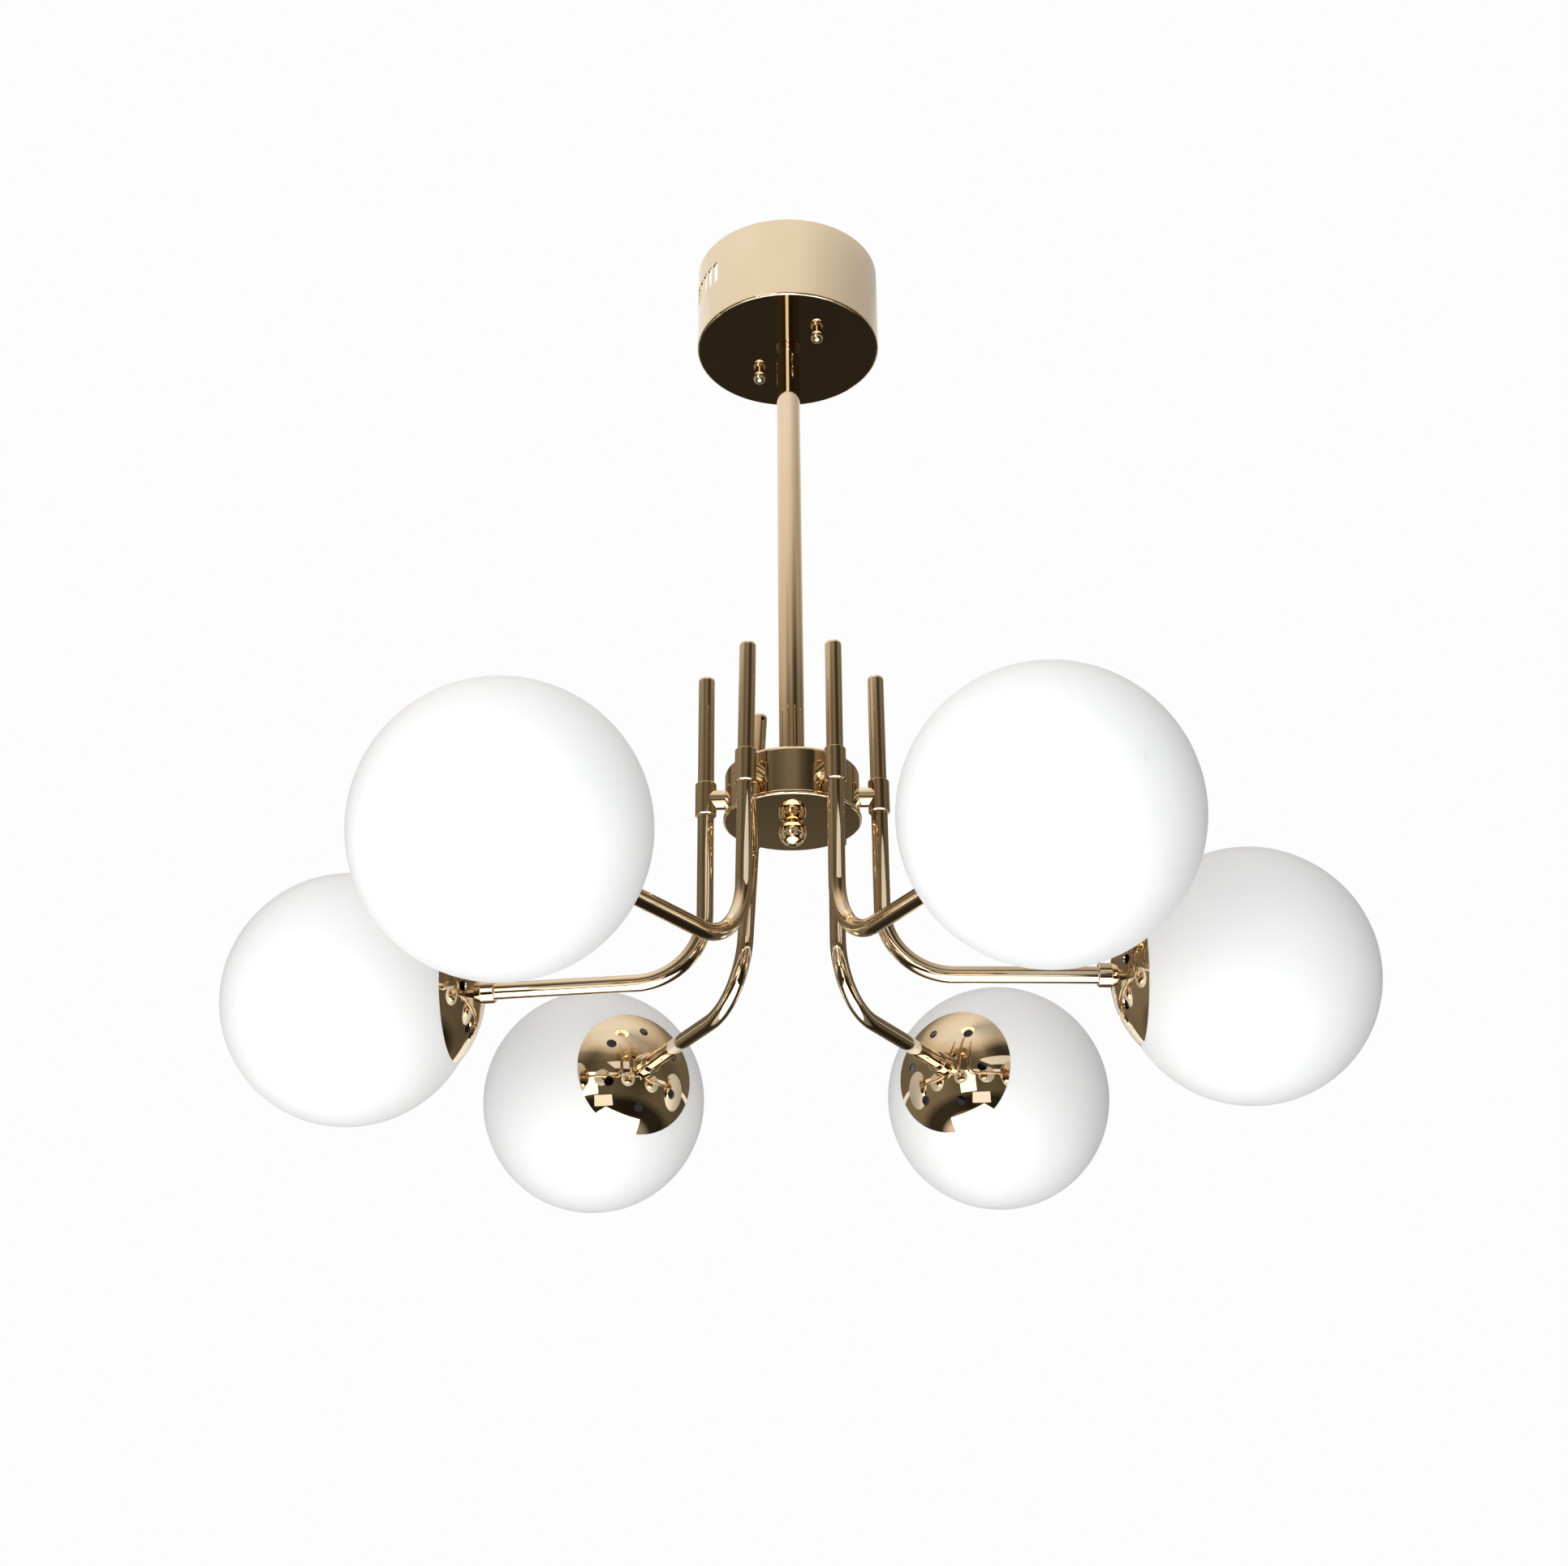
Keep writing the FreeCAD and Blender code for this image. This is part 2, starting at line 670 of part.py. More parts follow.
def make_base_plate():
    """Disc with a rounded rim and a step that centres it in the drum."""
    body = new_body("hub_base_plate")
    hole = "finial_stud / 2 + bolt_play"
    step = "drum_inside - bolt_play"
    outside = "plate_diameter / 2"
    revolve(body, [
        (hole, "-hub_bottom"),
        (f"{outside} - plate_edge", "-hub_bottom", "plate_edge", "left"),
        (outside, "plate_edge - hub_bottom"),
        (outside, "-plate_top - plate_edge", "plate_edge", "left"),
        (f"{outside} - plate_edge", "-plate_top"),
        (step, "-plate_top"),
        (step, "-step_top"),
        (hole, "-step_top"),
    ])


def make_finial_stud():
    stud = doc.addObject("Part::Cylinder", "finial_stud")
    stud.Label = "finial_stud"
    bind(stud, "Radius", "finial_stud / 2")
    bind(stud, "Height", "hub_bottom - step_top + strap_thickness + thread_over + finial_thread")
    bind(stud, "Placement.Base.z", "-hub_bottom - finial_thread")
    pieces.append(stud)


def make_finial():
    """Ball nut, a little flattened where it bears on the base plate."""
    body = new_body("ball_finial")
    radius = "finial_diameter / 2"
    flat = f"sqrt(({radius})^2 - finial_drop^2)"
    thread = "finial_stud / 2 + thread_play"
    equator = "-hub_bottom - finial_drop"
    blind_end = "-hub_bottom - finial_thread - seat_gap"
    revolve(body, [
        ("0", blind_end),
        ("0", f"{equator} - {radius}", radius, "left"),
        (radius, equator, radius, "left"),
        (flat, "-hub_bottom"),
        (thread, "-hub_bottom"),
        (thread, blind_end),
    ])


def make_stub_nuts():
    """Nuts on the sleeves' stubs, inside the drum."""
    members = []
    for arm, azimuth in azimuths():
        nut = hex_nut("stub_nut_" + arm, "stub_nut_width", "stub_nut_height", "stub_thread")
        on_side = step(turn="rotationy(90)")
        stand_at(nut, azimuth, out="stub_end + thread_over", depth="arm_axis", then=[on_side])
        members.append(nut)
    group("stub_nuts", members)


def on_arm(thing, arm, azimuth, swivels=True, then=()):
    """Place a piece of an arm, whose stub leans a little in the drum and whose tube swivels."""
    steps = [step(turn=f"rotationx({arm}_lean)")]
    if swivels:
        steps.append(step(turn=f"rotationz({arm}_swivel)"))
    stand_at(thing, azimuth, out="arm_circle / 2", depth="arm_axis", then=[*steps, *then])


def at_globe(body, arm, azimuth):
    """Put a piece that is drawn about a globe's centre, with the hub on its -X side, in its place."""
    to_globe = step(across="arm_reach", up="-tube_drop", turn="rotationy(arm_droop)")
    on_arm(body, arm, azimuth, then=[to_globe])


def make_sleeve(arm, azimuth):
    """Upright sleeve with a stub saddled on the drum, and a hollow nose in the arm tube's window."""
    body = new_body(arm + "_sleeve")
    outside = "sleeve_diameter / 2"
    half = "sleeve_length / 2"
    revolve(body, [
        ("0", f"-{half}"),
        (f"{outside} - sleeve_edge", f"-{half}"),
        (outside, f"sleeve_edge - {half}"),
        (outside, f"{half} - sleeve_edge"),
        (f"{outside} - sleeve_edge", half),
        ("0", half),
    ])
    sketch = new_sketch(body, "YZ_Plane")
    circle(sketch, "0", "0", "stub_diameter")
    feature(body, "Pad", sketch, Length="arm_circle / 2 - drum_inside", Reversed=True)
    hole_through(body, "XY_Plane", "-arm_circle / 2", "0", "drum_diameter + 2 * seat_gap")
    sketch = new_sketch(body, "YZ_Plane")
    circle(sketch, "0", "0", "stub_thread")
    feature(body, "Pad", sketch, Length="arm_circle / 2 - stub_end", Reversed=True)
    hole_through(body, "XY_Plane", "0", "0", "tube_diameter + 2 * running_play")
    sketch = new_sketch(body, "YZ_Plane", lift="-tube_inside - 2 * running_play")
    circle(sketch, "0", "0", "nose_diameter")
    feature(body, "Pad", sketch, Length="sleeve_diameter / 2 - tube_inside", Reversed=True)
    hole_one_way(body, "0", "0", "nose_bore", "arm_circle / 2")
    on_arm(body, arm, azimuth, swivels=False)


def make_arm_tube(arm, azimuth):
    """Tube with a closed round top, a drain hole, a window for the sleeve's nose and one wide bend.

    Its run to the globe droops a little, so the bend is that much less than a right angle.
    """
    body = new_body(arm + "_tube")
    outside = "tube_diameter / 2"
    pipe_top = "tube_rise - tube_top_edge"
    spine = new_sketch(body, "XZ_Plane")
    outline(spine, [
        ("0", pipe_top),
        ("0", "bend_top", "bend_radius", "left"),
        ("bend_radius * (1 - sin(arm_droop))", "bend_top - bend_radius * cos(arm_droop)"),
        ("arm_reach - tube_end * cos(arm_droop)", "tube_end * sin(arm_droop) - tube_drop"),
    ], closed=False)
    section = new_sketch(body, "XY_Plane", lift=pipe_top)
    circle(section, "0", "0", "tube_diameter")
    circle(section, "0", "0", "2 * tube_inside")
    feature(body, "AdditivePipe", section, Spine=spine)
    revolve(body, [
        ("0", pipe_top),
        (outside, pipe_top, "tube_top_edge", "left"),
        (f"{outside} - tube_top_edge", "tube_rise"),
        ("0", "tube_rise"),
    ])
    hole_one_way(body, "0", "tube_rise - drain_depth", "drain_hole", f"{outside} + overrun")
    window = new_sketch(body, "XZ_Plane")
    half = "nose_diameter / 2 + 2 * running_play"
    outline(window, [
        (f"-{outside} - overrun", f"-({half})"),
        ("overrun - tube_inside", f"-({half})"),
        ("overrun - tube_inside", half),
        (f"-{outside} - overrun", half),
    ])
    feature(body, "Groove", window, ReferenceAxis=(window, ["V_Axis"]), Midplane=True,
            Angle=f"2 * (swing * 1 deg + asin(({half}) / tube_inside))")
    on_arm(body, arm, azimuth)


def make_collar(arm, azimuth):
    """Ring on the tube that clamps the cap from outside."""
    body = new_body(arm + "_collar")
    inside = "tube_diameter / 2 + thread_play"
    outside = "collar_diameter / 2"
    outer_end = "-apex - collar_length"
    revolve(body, [
        (outer_end, inside),
        ("-apex", inside),
        ("-apex", outside),
        (f"{outer_end} + collar_edge", outside, "collar_edge", "left"),
        (outer_end, f"{outside} - collar_edge"),
    ], axis="H_Axis")
    at_globe(body, arm, azimuth)


def make_cap(arm, azimuth):
    """Domed cap: a flat seat for the collar, a gallery for the globe's neck and a ring of vents."""
    body = new_body(arm + "_cap")
    hole = "tube_diameter / 2 + thread_play"
    seat_inside = "sqrt(dome_inside^2 - (holder_top - dome_centre)^2)"
    rim_inside = "sqrt(dome_inside^2 - (rim - dome_centre)^2)"
    revolve(body, [
        ("-apex", hole),
        ("-holder_top", hole),
        ("-holder_top", seat_inside, "dome_inside", "right"),
        ("-dome_centre - sqrt(dome_inside^2 - gallery_inside^2)", "gallery_inside"),
        ("-rim - cap_wall", "gallery_inside"),
        ("-rim - cap_wall", "gallery_outside"),
        ("-dome_centre - sqrt(dome_inside^2 - gallery_outside^2)", "gallery_outside",
         "dome_inside", "right"),
        ("-rim", rim_inside),
        ("-rim", "cap_diameter / 2", "dome_radius", "left"),
        ("-apex", "cap_seat / 2"),
    ], axis="H_Axis")
    turn = arm + "_cap_turn"
    vent = hole_one_way(body, f"vent_circle / 2 * sin({turn})", f"vent_circle / 2 * cos({turn})",
                        "vent_diameter", "apex + overrun")
    around(body, vent, "X_Axis", VENT_COUNT)
    at_globe(body, arm, azimuth)


def make_lampholder(arm, azimuth):
    """Holder with a threaded neck at the cap and a socket open towards the middle of the globe."""
    body = new_body(arm + "_lampholder")
    thread = "tube_diameter / 2 + thread_play"
    outside = "holder_diameter / 2"
    socket = "lamp_cap_diameter / 2 + bolt_play"
    shoulder = "holder_neck_length - holder_top"
    socket_end = "-holder_mouth - lamp_cap_length - seat_gap"
    revolve(body, [
        ("-holder_top", thread),
        (socket_end, thread),
        (socket_end, socket),
        ("-holder_mouth", socket),
        ("-holder_mouth", outside),
        (f"{shoulder} + holder_edge", outside, "holder_edge", "left"),
        (shoulder, f"{outside} - holder_edge"),
        (shoulder, "holder_neck / 2"),
        ("-holder_top", "holder_neck / 2"),
    ], axis="H_Axis")
    at_globe(body, arm, azimuth)


def make_bulb(arm, azimuth):
    """Round bulb: lamp cap, tapered neck and ball."""
    body = new_body(arm + "_bulb")
    ball = "bulb_diameter / 2"
    base = "lamp_cap_diameter / 2"
    base_end = "-holder_mouth - lamp_cap_length"
    shoulder = "-bulb_centre - sqrt((bulb_diameter / 2)^2 - (bulb_shoulder / 2)^2)"
    revolve(body, [
        (base_end, "0"),
        (f"{ball} - bulb_centre", "0", ball, "left"),
        ("-bulb_centre", ball, ball, "left"),
        (shoulder, "bulb_shoulder / 2"),
        ("bolt_play - holder_mouth", "bulb_neck / 2"),
        ("bolt_play - holder_mouth", base),
        (base_end, base),
    ], axis="H_Axis")
    at_globe(body, arm, azimuth)


def make_globe(arm, azimuth):
    """Blown glass ball, flat where the cap sits, with a short neck that goes into the cap's gallery."""
    body = new_body(arm + "_globe")
    outside = "globe_diameter / 2"
    inside = "globe_diameter / 2 - glass_wall"
    opening = "neck_radius - glass_wall"
    shoulder = "-rim + glass_wall"
    shoulder_radius = "sqrt((globe_diameter / 2 - glass_wall)^2 - (rim - glass_wall)^2)"
    revolve(body, [
        (outside, "0", outside, "left"),
        ("0", outside, outside, "left"),
        ("-rim", "cap_diameter / 2"),
        ("-rim", "neck_radius"),
        ("-neck_top", "neck_radius"),
        ("-neck_top", opening),
        (shoulder, opening),
        (shoulder, shoulder_radius, inside, "right"),
        ("0", inside, inside, "right"),
        (inside, "0"),
    ], axis="H_Axis")
    at_globe(body, arm, azimuth)


def make_all():
    make_canopy()
    make_ceiling_bar()
    make_canopy_studs()
    make_stud_nuts()
    make_ball_nuts()
    make_terminal_block()
    make_terminal_screw()
    make_stem()
    make_stem_ring()
    make_stem_washers()
    make_stem_nuts()
    make_hub_drum()
    make_hub_strap()
    make_base_plate()
    make_finial_stud()
    make_finial()
    make_stub_nuts()
    makers = (make_sleeve, make_arm_tube, make_collar, make_cap, make_lampholder, make_bulb, make_globe)
    for arm, azimuth in azimuths():
        for make in makers:
            make(arm, azimuth)


def write_parts():
    """Check every object and every piece before any file is written."""
    for item in doc.Objects:
        if "Invalid" in item.State or "Error" in item.State:
            raise RuntimeError(f"{item.Label} is {item.State}")
    for piece in pieces:
        if piece.Shape.isNull() or not piece.Shape.isValid():
            raise RuntimeError(f"{piece.Label} has no valid shape")
    os.makedirs("parts", exist_ok=True)
    for piece in pieces:
        piece.Shape.exportStep(f"parts/{piece.Label}.step")
        print(f"{piece.Label}: {len(piece.Shape.Solids)} solid(s), {piece.Shape.Volume / 1000:.2f} cm3")


fill_sheet()
make_all()
doc.recompute()
write_parts()
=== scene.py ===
"""Looks of the six-globe ceiling light: materials, soft studio light and the camera, in metres."""

import json
import math

import bmesh
import bpy
from mathutils import Matrix, Vector

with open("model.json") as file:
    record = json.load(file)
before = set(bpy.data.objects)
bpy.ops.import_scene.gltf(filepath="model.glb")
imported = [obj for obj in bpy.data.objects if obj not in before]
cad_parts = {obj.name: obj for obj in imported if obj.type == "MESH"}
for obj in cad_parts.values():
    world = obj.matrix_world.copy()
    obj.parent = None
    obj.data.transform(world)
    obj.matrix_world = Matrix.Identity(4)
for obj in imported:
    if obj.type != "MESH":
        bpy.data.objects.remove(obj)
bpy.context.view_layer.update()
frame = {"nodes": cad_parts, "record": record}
scene = bpy.context.scene
nodes = frame["nodes"]

# Camera: angles in degrees, focal length and picture width in pixels, sensor width in millimetres
CAMERA_PLACE = (0.023616, -1.147637, -0.943103)
CAMERA_YAW = -1.428
CAMERA_PITCH = 25.809
CAMERA_ROLL = -0.463
CAMERA_FOCAL = 2564.83
CAMERA_NEAR = 0.05
PHOTO_WIDTH = 1932
SENSOR_WIDTH = 36.0

# Studio: round walls about the hub, a ceiling just above the canopy's rim and a square floor below,
# turned in degrees
HUB = Vector((0, 0, -0.45))
UNDER_CANOPY = Vector((0, 0, -0.1))
WALL_RADIUS = 3.6
CEILING_Z = 0.005
FLOOR_PLACE = (0, -0.42, -2.05)
FLOOR_SIDE = 2.0
FLOOR_TURN = 45
FLOOR_BOX_LIFT = 0.05

# Brightness, where 1 is white: the background as it is seen, then what lights matt surfaces
WHITE = 0.98
WORLD_LIGHT = 0.6
WALL_LIGHT = 0.22
CEILING_LIGHT = 0.75
FLOOR_GLOW = 0.85
FLOOR_GREYS = (0.2, 0.22)

# What metal mirrors of the walls: dim levels and pale levels by elevation, and the share of the pale
# ones by bearing. Elevations are seen from the hub, bearings run from the front to the right, and both
# are in degrees. Each level here and below is chosen for the bands that the real metal shows.
WALL_DIM_LEVELS = [(-90, 0.01), (-30, 0.014), (-20, 0.085), (0, 0.05), (90, 0.05)]
WALL_PALE_LEVELS = [(-90, 0.85), (-52, 0.8), (-44, 0.04), (-30, 0.04), (-20, 0.2), (0, 0.22), (90, 0.24)]
WALL_PALE_SHARES = [
    (-90, 1.0), (-60, 1.0), (-45, 0.6), (-25, 0.15), (0, 0.35), (12, 0.4), (33, 0.05), (50, 0.0),
    (75, 0.35), (90, 0.4), (130, 0.2), (179, 0.4), (220, 0.8), (230, 1.0),
]

# What metal mirrors of the ceiling: levels by distance from its brightest spot, times a share by
# bearing. One set of shares holds as far as NEAR_END and the other from FAR_START on.
CEILING_BRIGHTEST = (-0.06, 0, 0)
CEILING_REACH = 1.2
CEILING_LEVELS = [
    (0, 0.96), (0.2, 0.92), (0.3, 0.85), (0.4, 0.75), (0.47, 0.65), (0.556, 0.54), (0.6, 0.42),
    (0.667, 0.3), (0.8, 0.25), (0.95, 0.21), (1.1, 0.17),
]
CEILING_NEAR_SHARES = [
    (-90, 0.93), (-30, 1.0), (12, 0.95), (35, 0.78), (52, 0.68), (75, 0.58), (100, 0.54), (130, 0.8),
    (160, 1.0),
]
CEILING_FAR_SHARES = [
    (-90, 0.67), (-65, 0.74), (-52, 0.72), (-40, 0.46), (-28, 0.3), (-16, 0.42), (-6, 0.55), (8, 0.55),
    (17, 0.27), (29, 0.13), (42, 0.1), (52, 0.18), (65, 0.45), (79, 0.55), (94, 0.4), (111, 0.4),
    (134, 0.6), (178, 0.5), (230, 0.6), (268, 0.67),
]
NEAR_END = 0.35
FAR_START = 0.6
FAR_GAIN = 1.5

# A mirrored level starts to warm below the first value, deepens below the second and is warmest at the
# third. The losses are shares of its green and of its blue, from warming and from deepening.
WARM_LEVEL = 0.95
DEEP_LEVEL = 0.8
WARMEST_LEVEL = 0.2
GREEN_LOSSES = (0.11, 0.05)
BLUE_LOSSES = (0.24, 0.17)

# Depth of every bump
BUMP_DEPTH = 0.0002

# Places of a Mix node's two inputs and of its output, by what it mixes
MIX_SOCKETS = {"FLOAT": (2, 3, 0), "RGBA": (6, 7, 2)}


def grey(value):
    return (value, value, value)


def opaque(colour):
    return (*colour, 1.0)


def node_material(name):
    """An empty material, its node adder and its linker."""
    material = bpy.data.materials.new(name)
    material.use_nodes = True
    tree = material.node_tree
    tree.nodes.clear()
    return material, tree.nodes, tree.links


def shader_of(adder, links, **values):
    """A Principled shader on a material output, with its own sockets set."""
    shader = adder.new("ShaderNodeBsdfPrincipled")
    output = adder.new("ShaderNodeOutputMaterial")
    links.new(shader.outputs[0], output.inputs[0])
    for socket, value in values.items():
        shader.inputs[socket.replace("_", " ")].default_value = value
    return shader


def noise_of(adder, links, scale, detail=3.0):
    """Noise in object space, in waves per metre."""
    place = adder.new("ShaderNodeTexCoord")
    noise = adder.new("ShaderNodeTexNoise")
    noise.inputs["Scale"].default_value = scale
    noise.inputs["Detail"].default_value = detail
    links.new(place.outputs["Object"], noise.inputs["Vector"])
    return noise.outputs[0]


def ramp_of(adder, links, source, stops):
    """A colour ramp on a value, with stops of (place, colour) in rising order."""
    ramp = adder.new("ShaderNodeValToRGB")
    elements = ramp.color_ramp.elements
    while len(elements) < len(stops):
        elements.new(0.5)
    for element, (place, colour) in zip(elements, stops):
        element.position = place
        element.color = opaque(colour)
    links.new(source, ramp.inputs[0])
    return ramp.outputs[0]


def vary(adder, links, noise, socket, first, last, spread=0.2):
    """Drive a socket with noise, from one colour to another over a spread each side of its middle."""
    links.new(ramp_of(adder, links, noise, [(0.5 - spread, first), (0.5 + spread, last)]), socket)


def bump_of(adder, links, source, shader, strength):
    bump = adder.new("ShaderNodeBump")
    bump.inputs["Strength"].default_value = strength
    bump.inputs["Distance"].default_value = BUMP_DEPTH
    links.new(source, bump.inputs["Height"])
    links.new(bump.outputs[0], shader.inputs["Normal"])


def polished_metal(name, colour, deeper, rough=(0.025, 0.05)):
    """Plated and lacquered metal: a slight drift of tone, faint polishing haze and a very soft ripple."""
    material, adder, links = node_material(name)
    shader = shader_of(adder, links, Metallic=1.0)
    drift = noise_of(adder, links, scale=14.0)
    vary(adder, links, drift, shader.inputs["Base Color"], deeper, colour, spread=0.15)
    haze = noise_of(adder, links, scale=160.0, detail=4.0)
    vary(adder, links, haze, shader.inputs["Roughness"], *map(grey, rough))
    ripple = noise_of(adder, links, scale=90.0, detail=1.0)
    bump_of(adder, links, ripple, shader, strength=0.02)
    return material


def opal_glass(name, colour, deeper, rough=(0.42, 0.52)):
    """Etched white glass: close to white, a little light passes inside it, no sharp shine."""
    material, adder, links = node_material(name)
    shader = shader_of(adder, links, Subsurface_Weight=0.25, Subsurface_Radius=(1.0, 0.95, 0.9),
                       Subsurface_Scale=0.006, IOR=1.46)
    cloud = noise_of(adder, links, scale=18.0)
    vary(adder, links, cloud, shader.inputs["Base Color"], deeper, colour)
    etch = noise_of(adder, links, scale=1400.0, detail=2.0)
    vary(adder, links, etch, shader.inputs["Roughness"], *map(grey, rough))
    bump_of(adder, links, etch, shader, strength=0.04)
    return material


def moulded(name, colour, deeper, rough=(0.4, 0.55)):
    """Moulded plastic or frosted bulb: fine grain in tone, shine and surface."""
    material, adder, links = node_material(name)
    shader = shader_of(adder, links)
    cloud = noise_of(adder, links, scale=60.0)
    vary(adder, links, cloud, shader.inputs["Base Color"], deeper, colour)
    grain = noise_of(adder, links, scale=2200.0, detail=2.0)
    vary(adder, links, grain, shader.inputs["Roughness"], *map(grey, rough))
    bump_of(adder, links, grain, shader, strength=0.08)
    return material


def make_materials():
    """One material for each slot of the record, by the slot's name."""
    return {
        "polished_brass": polished_metal("polished_brass_look", (0.87, 0.71, 0.5), (0.85, 0.68, 0.47)),
        "zinc_steel": polished_metal("zinc_steel_look", (0.66, 0.66, 0.64), (0.5, 0.5, 0.49),
                                     rough=(0.25, 0.4)),
        "terminal_plastic": moulded("terminal_plastic_look", (0.9, 0.9, 0.87), (0.82, 0.82, 0.79)),
        "holder_plastic": moulded("holder_plastic_look", (0.03, 0.03, 0.03), (0.015, 0.015, 0.015)),
        "opal_glass": opal_glass("opal_glass_look", (0.92, 0.92, 0.915), (0.895, 0.9, 0.9)),
        "frosted_bulb": moulded("frosted_bulb_look", (0.9, 0.9, 0.88), (0.85, 0.85, 0.83)),
    }


def dress_nodes(materials):
    """Give every node of the frame the look of its slot."""
    for part in frame["record"]["subparts"]:
        thing = nodes[part["node"]]
        if not thing.material_slots:
            thing.data.materials.append(materials[part["material_slot"]])
        for slot in thing.material_slots:
            slot.material = materials[part["material_slot"]]


def set_camera():
    """The photograph's view: in front of the light and below it, looking up."""
    yaw, pitch, roll = map(math.radians, (CAMERA_YAW, CAMERA_PITCH, CAMERA_ROLL))
    up = Vector((0, 0, 1))
    ahead = Vector((math.sin(yaw), math.cos(yaw), 0))
    right = Vector((math.cos(yaw), -math.sin(yaw), 0))
    forward = math.cos(pitch) * ahead + math.sin(pitch) * up
    above = math.cos(pitch) * up - math.sin(pitch) * ahead
    across = math.cos(roll) * right + math.sin(roll) * above
    upright = math.cos(roll) * above - math.sin(roll) * right
    data = bpy.data.cameras.new("photo_camera")
    data.sensor_width = SENSOR_WIDTH
    data.lens = CAMERA_FOCAL / PHOTO_WIDTH * SENSOR_WIDTH
    data.clip_start = CAMERA_NEAR
    camera = bpy.data.objects.new("photo_camera", data)
    turn = Matrix((across, upright, -forward)).transposed().to_4x4()
    camera.matrix_world = Matrix.Translation(CAMERA_PLACE) @ turn
    scene.collection.objects.link(camera)
    scene.camera = camera


def background_rays(adder, links):
    """One for rays from the camera and for those that metal or glass sends on, else zero."""
    path = adder.new("ShaderNodeLightPath")
    either = path.outputs["Is Camera Ray"]
    for kind in ("Is Glossy Ray", "Is Transmission Ray"):
        larger = adder.new("ShaderNodeMath")
        larger.operation = "MAXIMUM"
        links.new(either, larger.inputs[0])
        links.new(path.outputs[kind], larger.inputs[1])
        either = larger.outputs[0]
    return either


def split_by_ray(adder, links, output_kind, lighting, seen):
    """Show one shader to the camera and in mirrors, and light matt surfaces with another."""
    mix = adder.new("ShaderNodeMixShader")
    output = adder.new(output_kind)
    links.new(background_rays(adder, links), mix.inputs[0])
    links.new(lighting.outputs[0], mix.inputs[1])
    links.new(seen.outputs[0], mix.inputs[2])
    links.new(mix.outputs[0], output.inputs[0])


def set_world():
    """White background, which metal shows too, and a weaker light from all around."""
    world = bpy.data.worlds.new("studio")
    scene.world = world
    world.use_nodes = True
    adder, links = world.node_tree.nodes, world.node_tree.links
    adder.clear()
    seen = adder.new("ShaderNodeBackground")
    lighting = adder.new("ShaderNodeBackground")
    lighting.inputs["Strength"].default_value = WORLD_LIGHT
    for shader in (seen, lighting):
        shader.inputs["Color"].default_value = opaque(grey(WHITE))
    split_by_ray(adder, links, "ShaderNodeOutputWorld", lighting, seen)


def share_below(level, top, bottom):
    """Zero at the top level, one at the bottom level, and held beyond both."""
    return min(max((top - level) / (top - bottom), 0), 1)


def mirrored_colour(level):
    """Colour of a studio surface by its brightness. The dimmer it is, the warmer."""
    warm = share_below(level, WARM_LEVEL, DEEP_LEVEL)
    deep = share_below(level, DEEP_LEVEL, WARMEST_LEVEL)
    green, blue = (1 - by_warm * warm - by_deep * deep for by_warm, by_deep in (GREEN_LOSSES, BLUE_LOSSES))
    return (level, level * green, level * blue)


def height_at(elevation):
    """Place on a height ramp of an elevation in degrees."""
    return (math.sin(math.radians(elevation)) + 1) / 2


def bearing_at(bearing):
    """Place on a radial gradient of a bearing in degrees."""
    return (0.25 + bearing / 360) % 1


def map_range(adder, links, source, high, low=0.0, gain=1.0):
    """A value carried from low..high to zero..gain, held at both ends."""
    node = adder.new("ShaderNodeMapRange")
    for socket, value in (("From Min", low), ("From Max", high), ("To Min", 0.0), ("To Max", gain)):
        node.inputs[socket].default_value = value
    links.new(source, node.inputs["Value"])
    return node.outputs[0]


def mixed(adder, links, kind, share, first, second):
    """Two numbers or two colours, mixed by the share of the second."""
    low, high, result = MIX_SOCKETS[kind]
    mix = adder.new("ShaderNodeMix")
    mix.data_type = kind
    links.new(share, mix.inputs[0])
    links.new(first, mix.inputs[low])
    links.new(second, mix.inputs[high])
    return mix.outputs[result]


def bearing_shares(adder, links, place, shares):
    """A share by the bearing from the middle of a studio surface."""
    bearing = adder.new("ShaderNodeTexGradient")
    bearing.gradient_type = "RADIAL"
    links.new(place, bearing.inputs[0])
    stops = [(bearing_at(degrees), grey(share)) for degrees, share in shares]
    return ramp_of(adder, links, bearing.outputs["Fac"], stops)


def studio_glow(adder, links, mirrored, light, strength=None):
    """What a mirror shows of a surface, and a plain even light for matt surfaces."""
    shown = adder.new("ShaderNodeEmission")
    links.new(mirrored, shown.inputs["Color"])
    if strength is not None:
        links.new(strength, shown.inputs["Strength"])
    plain = adder.new("ShaderNodeEmission")
    plain.inputs["Color"].default_value = opaque(grey(1.0))
    plain.inputs["Strength"].default_value = light
    split_by_ray(adder, links, "ShaderNodeOutputMaterial", plain, shown)


def studio_object(name, shape, place, material):
    """An object from a bmesh, which is freed."""
    mesh = bpy.data.meshes.new(name)
    shape.to_mesh(mesh)
    shape.free()
    mesh.materials.append(material)
    thing = bpy.data.objects.new(name, mesh)
    thing.location = place
    scene.collection.objects.link(thing)
    return thing


